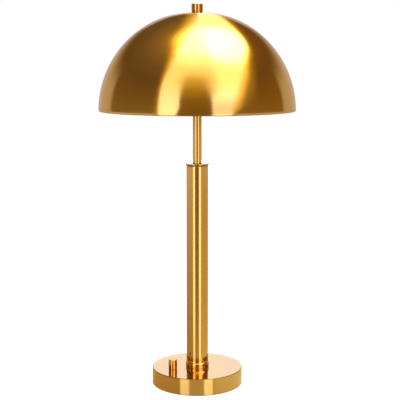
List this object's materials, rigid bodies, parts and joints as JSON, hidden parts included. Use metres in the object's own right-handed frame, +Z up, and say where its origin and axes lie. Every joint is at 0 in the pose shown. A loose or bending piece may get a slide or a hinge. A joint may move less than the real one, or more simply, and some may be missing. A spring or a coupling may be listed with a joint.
{
  "type": "table lamp",
  "caption": "Dome shade desk lamp with a hemispherical brass shade on a harp, a tube column, a round weighted base and a rotary dimmer knob.",
  "frame": {"origin": "on the table at the middle of the round base", "axes": "+Z up along the stem, -Y to the front of the lamp, +Y to the back with the cord bush"},
  "size_m": [0.3386, 0.3386, 0.6642],
  "materials": {
    "spun_brass": "satin, spun round the axis, white inside",
    "brushed_brass": "satin",
    "drawn_brass": "satin, brushed along the tube",
    "turned_brass": "fine turned",
    "plain_brass": "plain bright",
    "plain_steel": "zinc plated",
    "cast_iron": "black painted casting",
    "felt": "pressed felt",
    "fibre": "pressed fibre",
    "black_plastic": "moulded",
    "opal_glass": "frosted white",
    "bulb_metal": "rolled thread",
    "black_lead": "insulated wire",
    "white_lead": "insulated wire",
    "connector_plastic": "moulded"
  },
  "bodies": {
    "stand": {"foot_pad": "felt", "bottom_plate": "plain_steel", "plate_screws": "plain_steel", "base_weight": "cast_iron", "base_shell": "brushed_brass", "cord_bush": "black_plastic", "bush_nut": "black_plastic", "dimmer_body": "black_plastic", "dimmer_washer": "plain_steel", "dimmer_nut": "plain_steel", "lock_washer": "plain_steel", "pipe_nut": "plain_steel", "lamp_pipe": "plain_steel", "column_collar": "turned_brass", "column_tube": "drawn_brass", "column_cap": "turned_brass", "stem_tube": "drawn_brass", "neck_ring": "turned_brass", "harp_saddle": "plain_brass", "harp_bow": "plain_brass", "harp_seat": "plain_brass", "lower_washer": "plain_steel", "socket_cap": "plain_brass", "socket_shell": "plain_brass", "socket_liner": "fibre", "socket_insulator": "black_plastic", "terminal_screws": "plain_brass", "screw_shell": "plain_brass", "centre_contact": "plain_brass", "switch_lead": "black_lead", "return_lead": "white_lead", "wire_connector": "connector_plastic"},
    "knob": {"dimmer_shaft": "plain_steel", "dimmer_knob": "turned_brass", "knob_set_screw": "plain_steel"},
    "bulb": {"bulb_glass": "opal_glass", "bulb_screw_base": "bulb_metal", "bulb_insulator": "black_plastic", "bulb_contact": "bulb_metal"},
    "shade": {"shade_dome": "spun_brass", "upper_washer": "turned_brass"},
    "finial": {"finial": "turned_brass"},
    "left_ferrule": {"left_ferrule": "plain_brass"},
    "right_ferrule": {"right_ferrule": "plain_brass"}
  },
  "joints": [
    {"name": "knob_turn", "type": "hinge", "parent": "stand", "child": "knob", "pos_m": [-0.04304, -0.01863, 0.03], "axis": [0, 0, 1], "range_deg": [-300, 0]},
    {"name": "bulb_turn", "type": "hinge", "parent": "stand", "child": "bulb", "pos_m": [0, 0, 0.54], "axis": [0, 0, 1], "continuous": true},
    {"name": "shade_turn", "type": "hinge", "parent": "stand", "child": "shade", "pos_m": [0, 0, 0.649], "axis": [0, 0, 1], "continuous": true},
    {"name": "finial_turn", "type": "hinge", "parent": "stand", "child": "finial", "pos_m": [0, 0, 0.655], "axis": [0, 0, 1], "continuous": true},
    {"name": "left_ferrule_slide", "type": "slide", "parent": "stand", "child": "left_ferrule", "axis": [0, 0, 1], "range_m": [0, 0.014]},
    {"name": "right_ferrule_slide", "type": "slide", "parent": "stand", "child": "right_ferrule", "axis": [0, 0, 1], "range_m": [0, 0.014]}
  ]
}
